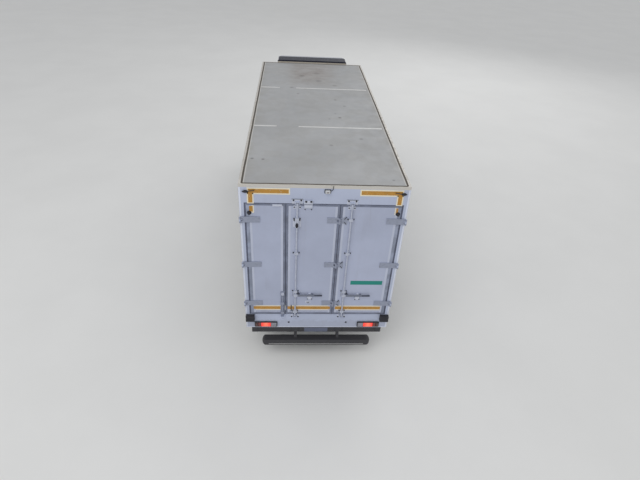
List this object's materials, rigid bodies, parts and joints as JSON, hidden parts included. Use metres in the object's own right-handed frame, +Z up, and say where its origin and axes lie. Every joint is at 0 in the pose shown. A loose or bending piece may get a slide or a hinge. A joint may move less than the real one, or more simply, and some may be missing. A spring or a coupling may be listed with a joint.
{
  "type": "refrigerated truck",
  "caption": "Two-axle refrigerated box truck with a tilt cab, ladder chassis, insulated body and a three-leaf folding rear door.",
  "frame": {"origin": "on the ground, under the middle of the truck's outer box", "axes": "+Z up, -Y towards the front of the cab, +X towards the truck's left side"},
  "size_m": [2.79, 8.56, 3.66],
  "materials": {
    "box_panel": "satin white composite skin",
    "roof_panel": "weathered grey-white composite skin",
    "door_panel": "satin bluish white composite skin",
    "frame_paint": "painted steel",
    "aluminium_rail": "extruded aluminium",
    "aluminium_floor": "worn ribbed aluminium",
    "zinc_steel": "zinc plated steel",
    "cab_paint": "gloss white paint",
    "bumper_paint": "gloss pale grey paint",
    "unit_casing": "dark moulded casing",
    "chassis_paint": "black chassis paint",
    "dark_steel": "dark painted steel",
    "cast_metal": "cast metal",
    "rim_paint": "silver painted steel",
    "tyre": "tyre rubber",
    "black_rubber": "moulded rubber",
    "black_plastic": "matte moulded plastic",
    "dark_plastic": "grained plastic",
    "white_plastic": "white moulded plastic",
    "seat_fabric": "woven seat cloth",
    "glass": "tinted safety glass",
    "lamp_lens": "clear lamp lens",
    "red_lens": "red lamp lens",
    "amber_lens": "amber lamp lens"
  },
  "bodies": {
    "chassis": {"battery_box": "dark_steel", "box_floor": "aluminium_floor", "box_front_wall": "box_panel", "box_roof": "roof_panel", "box_side_walls": "box_panel", "box_subframe": "chassis_paint", "cross_members": "chassis_paint", "chassis_frame": "chassis_paint", "dock_bumpers": "black_rubber", "edge_rails": "aluminium_rail", "air_tanks": "dark_steel", "engine_block": "cast_metal", "evaporator": "white_plastic", "fridge_unit": "unit_casing", "front_axle": "chassis_paint", "front_bumper": "bumper_paint", "fuel_tank": "dark_steel", "headlamps": "lamp_lens", "marker_lamps": "amber_lens", "propshaft": "chassis_paint", "radiator": "dark_steel", "rear_axle": "chassis_paint", "rear_cross_beam": "chassis_paint", "rear_frame": "frame_paint", "rear_mudguards": "black_plastic", "side_guards": "aluminium_rail", "silencer": "dark_steel", "tail_lamps": "red_lens", "underrun_bar": "chassis_paint"},
    "cab": {"cab_shell": "cab_paint", "cab_floor": "cab_paint", "cab_back_wall": "cab_paint", "cab_glass": "glass", "dashboard": "dark_plastic", "steering_wheel": "dark_plastic", "seats": "seat_fabric", "grille": "dark_plastic", "mirrors": "dark_plastic"},
    "cab_door_left": {"cab_door_left": "cab_paint", "cab_door_glass_left": "glass"},
    "cab_door_right": {"cab_door_right": "cab_paint", "cab_door_glass_right": "glass"},
    "rear_door_left": {"rear_door_left": "door_panel", "rear_door_left_hardware": "zinc_steel"},
    "rear_door_right": {"rear_door_right": "door_panel", "rear_door_right_hardware": "zinc_steel"},
    "rear_door_center": {"rear_door_center": "door_panel", "rear_door_center_hardware": "zinc_steel"},
    "knuckle_left": {"knuckle_left": "cast_metal"},
    "knuckle_right": {"knuckle_right": "cast_metal"},
    "tie_rod": {"tie_rod": "chassis_paint"},
    "wheel_front_left": {"tyre_front_left": "tyre", "rim_front_left": "rim_paint"},
    "wheel_front_right": {"tyre_front_right": "tyre", "rim_front_right": "rim_paint"},
    "wheel_rear_left": {"tyres_rear_left": "tyre", "rims_rear_left": "rim_paint"},
    "wheel_rear_right": {"tyres_rear_right": "tyre", "rims_rear_right": "rim_paint"}
  },
  "joints": [
    {"name": "cab_tilt", "type": "hinge", "parent": "chassis", "child": "cab", "pos_m": [0, -3.99, 0.64], "axis": [1, 0, 0], "range_deg": [0, 45]},
    {"name": "cab_door_left_swing", "type": "hinge", "parent": "cab", "child": "cab_door_left", "pos_m": [1.166, -3.905, 1.335], "axis": [0, 0, 1], "range_deg": [-70, 0]},
    {"name": "cab_door_right_swing", "type": "hinge", "parent": "cab", "child": "cab_door_right", "pos_m": [-1.166, -3.905, 1.335], "axis": [0, 0, -1], "range_deg": [-70, 0]},
    {"name": "rear_door_left_swing", "type": "hinge", "parent": "chassis", "child": "rear_door_left", "pos_m": [1.243, 4.243, 2.158], "axis": [0, 0, -1], "range_deg": [0, 255]},
    {"name": "rear_door_right_swing", "type": "hinge", "parent": "chassis", "child": "rear_door_right", "pos_m": [-1.243, 4.243, 2.158], "axis": [0, 0, 1], "range_deg": [0, 255]},
    {"name": "rear_door_center_fold", "type": "hinge", "parent": "rear_door_right", "child": "rear_door_center", "pos_m": [-0.24, 4.243, 2.158], "axis": [0, 0, -1], "range_deg": [-150, 0]},
    {"name": "steer_left", "type": "hinge", "parent": "chassis", "child": "knuckle_left", "pos_m": [0.86, -3.11, 0.402], "axis": [0, 0, 1], "range_deg": [-38, 38]},
    {"name": "steer_right", "type": "hinge", "parent": "chassis", "child": "knuckle_right", "pos_m": [-0.86, -3.11, 0.402], "axis": [0, 0, 1], "range_deg": [-38, 38]},
    {"name": "tie_rod_pivot", "type": "hinge", "parent": "knuckle_left", "child": "tie_rod", "pos_m": [0.86, -2.91, 0.29], "axis": [0, 0, 1], "range_deg": [-38, 38]},
    {"name": "roll_front_left", "type": "hinge", "parent": "knuckle_left", "child": "wheel_front_left", "pos_m": [0.98, -3.11, 0.402], "axis": [1, 0, 0], "continuous": true},
    {"name": "roll_front_right", "type": "hinge", "parent": "knuckle_right", "child": "wheel_front_right", "pos_m": [-0.98, -3.11, 0.402], "axis": [1, 0, 0], "continuous": true},
    {"name": "roll_rear_left", "type": "hinge", "parent": "chassis", "child": "wheel_rear_left", "pos_m": [0.92, 1.75, 0.402], "axis": [1, 0, 0], "continuous": true},
    {"name": "roll_rear_right", "type": "hinge", "parent": "chassis", "child": "wheel_rear_right", "pos_m": [-0.92, 1.75, 0.402], "axis": [1, 0, 0], "continuous": true}
  ],
  "couplings": [
    {"joint": "steer_right", "follows": "steer_left", "ratio": 1},
    {"joint": "tie_rod_pivot", "follows": "steer_left", "ratio": -1}
  ]
}
